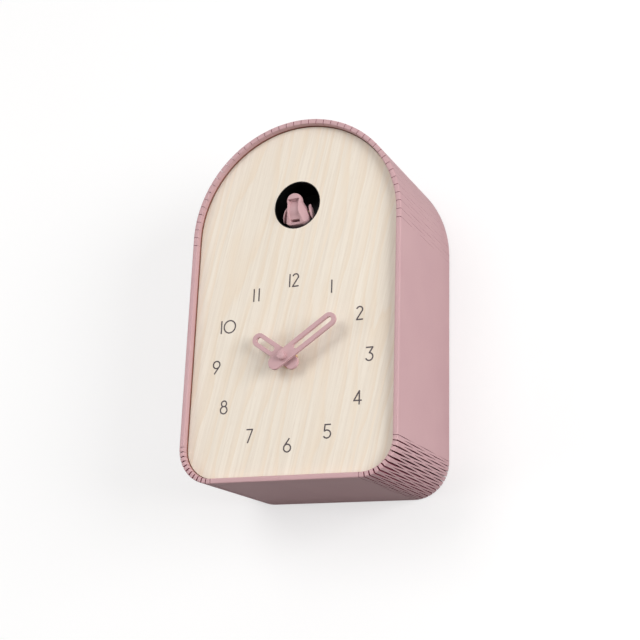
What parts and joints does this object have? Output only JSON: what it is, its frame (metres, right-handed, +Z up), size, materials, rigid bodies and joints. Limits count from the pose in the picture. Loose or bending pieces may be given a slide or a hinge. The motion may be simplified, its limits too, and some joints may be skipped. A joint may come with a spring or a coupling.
{
  "type": "cuckoo clock",
  "caption": "Wall cuckoo clock with an arched bent-board case, birch dial, slotted hands and a small bird that slides out of a round doorway.",
  "frame": {"origin": "centre of the hanging keyhole in the wall plane", "axes": "+Z up, +Y into the wall so the dial faces -Y, +X to the right as seen from the front"},
  "size_m": [0.2, 0.1365, 0.322],
  "materials": {
    "pink_paint": "satin dusty pink paint over birch plywood",
    "birch_ply": "pale birch face veneer, matt lacquer",
    "plain_ply": "plain birch plywood, bare",
    "printed_ink": "warm grey-brown screen print",
    "black_plastic": "matt black moulded plastic",
    "grey_plastic": "dark grey moulded plastic",
    "white_plastic": "white acetal",
    "brass_parts": "turned brass",
    "steel": "bright zinc-plated steel",
    "magnet": "dark ground magnet",
    "copper_wire": "enamelled copper wire",
    "circuit_board": "green solder mask",
    "battery_jacket": "plain dark wrapped cells",
    "speaker_paper": "pressed black paper",
    "dowel": "birch dowel",
    "red_lead": "red PVC insulation",
    "black_lead": "black PVC insulation"
  },
  "bodies": {
    "case": {"case_wrap": "pink_paint", "front_panel": "birch_ply", "back_panel": "plain_ply", "front_frame": "plain_ply", "rear_frame": "plain_ply", "dial_numerals": "printed_ink", "movement_case": "black_plastic", "bird_chamber": "black_plastic", "drive_frame": "black_plastic", "battery_tray": "black_plastic", "switch_body": "black_plastic", "volume_pot": "black_plastic", "speaker_basket": "black_plastic", "motor_end_cap": "black_plastic", "board_posts": "black_plastic", "movement_cover": "grey_plastic", "centre_bush": "brass_parts", "dial_nut": "brass_parts", "dial_washer": "brass_parts", "stator": "steel", "coil_core": "steel", "back_screws": "steel", "drive_screws": "steel", "battery_contacts": "steel", "tray_contacts": "steel", "bird_motor": "steel", "speaker_magnet": "steel", "quartz_crystal": "steel", "coil": "copper_wire", "timing_board": "circuit_board", "sound_board": "circuit_board", "movement_battery": "battery_jacket", "sound_batteries": "battery_jacket", "speaker_cone": "speaker_paper", "battery_lead": "red_lead", "motor_lead": "red_lead", "speaker_lead": "black_lead", "movement_lead": "black_lead"},
    "minute": {"minute_arbor": "brass_parts", "minute_hand": "pink_paint", "hand_cap": "pink_paint"},
    "hour": {"hour_wheel": "white_plastic", "hour_hand": "pink_paint"},
    "motion": {"motion_wheel": "white_plastic", "setting_knob": "black_plastic"},
    "third": {"third_wheel": "white_plastic"},
    "fourth": {"fourth_wheel": "white_plastic"},
    "fifth": {"fifth_wheel": "white_plastic"},
    "stepper_rotor": {"rotor": "magnet"},
    "bird": {"bird_body": "pink_paint", "bird_wing_left": "pink_paint", "bird_wing_right": "pink_paint", "wing_pin": "dowel", "bird_rack": "white_plastic"},
    "drive_gear": {"drive_gear": "white_plastic"},
    "motor_rotor": {"motor_pinion": "brass_parts"},
    "switch": {"switch_slider": "grey_plastic"},
    "volume": {"volume_knob": "grey_plastic"}
  },
  "joints": [
    {"name": "minute_turn", "type": "hinge", "parent": "case", "child": "minute", "pos_m": [0, -0.11, -0.194], "axis": [0, 1, 0], "continuous": true},
    {"name": "hour_turn", "type": "hinge", "parent": "case", "child": "hour", "pos_m": [0, -0.11, -0.194], "axis": [0, 1, 0], "continuous": true},
    {"name": "motion_turn", "type": "hinge", "parent": "case", "child": "motion", "pos_m": [-0.01128, -0.11, -0.1899], "axis": [0, 1, 0], "continuous": true},
    {"name": "third_turn", "type": "hinge", "parent": "case", "child": "third", "pos_m": [0.00594, -0.11, -0.18371], "axis": [0, 1, 0], "continuous": true},
    {"name": "fourth_turn", "type": "hinge", "parent": "case", "child": "fourth", "pos_m": [0.01712, -0.11, -0.18778], "axis": [0, 1, 0], "continuous": true},
    {"name": "fifth_turn", "type": "hinge", "parent": "case", "child": "fifth", "pos_m": [0.01879, -0.11, -0.19724], "axis": [0, 1, 0], "continuous": true},
    {"name": "rotor_turn", "type": "hinge", "parent": "case", "child": "stepper_rotor", "pos_m": [0.01068, -0.11, -0.19941], "axis": [0, 1, 0], "continuous": true},
    {"name": "bird_slide", "type": "slide", "parent": "case", "child": "bird", "axis": [0, -1, 0], "range_m": [0, 0.018]},
    {"name": "drive_gear_turn", "type": "hinge", "parent": "case", "child": "drive_gear", "pos_m": [0, -0.062, -0.07072], "axis": [1, 0, 0], "range_deg": [0, 413.53]},
    {"name": "motor_turn", "type": "hinge", "parent": "case", "child": "motor_rotor", "pos_m": [-0.005, -0.062, -0.08322], "axis": [1, 0, 0], "range_deg": [-1654.12, 0]},
    {"name": "switch_slide", "type": "slide", "parent": "case", "child": "switch", "axis": [1, 0, 0], "range_m": [0, 0.0036]},
    {"name": "volume_turn", "type": "hinge", "parent": "case", "child": "volume", "pos_m": [0.01, -0.005, -0.158], "axis": [0, 1, 0], "range_deg": [-140, 140]}
  ],
  "couplings": [
    {"joint": "hour_turn", "follows": "minute_turn", "ratio": 0.083333},
    {"joint": "motion_turn", "follows": "minute_turn", "ratio": -0.33333},
    {"joint": "third_turn", "follows": "minute_turn", "ratio": -8},
    {"joint": "fourth_turn", "follows": "minute_turn", "ratio": 60},
    {"joint": "fifth_turn", "follows": "minute_turn", "ratio": -300},
    {"joint": "rotor_turn", "follows": "minute_turn", "ratio": 1800},
    {"joint": "drive_gear_turn", "follows": "bird_slide", "rad_per_m": 400},
    {"joint": "motor_turn", "follows": "bird_slide", "rad_per_m": -1600}
  ]
}
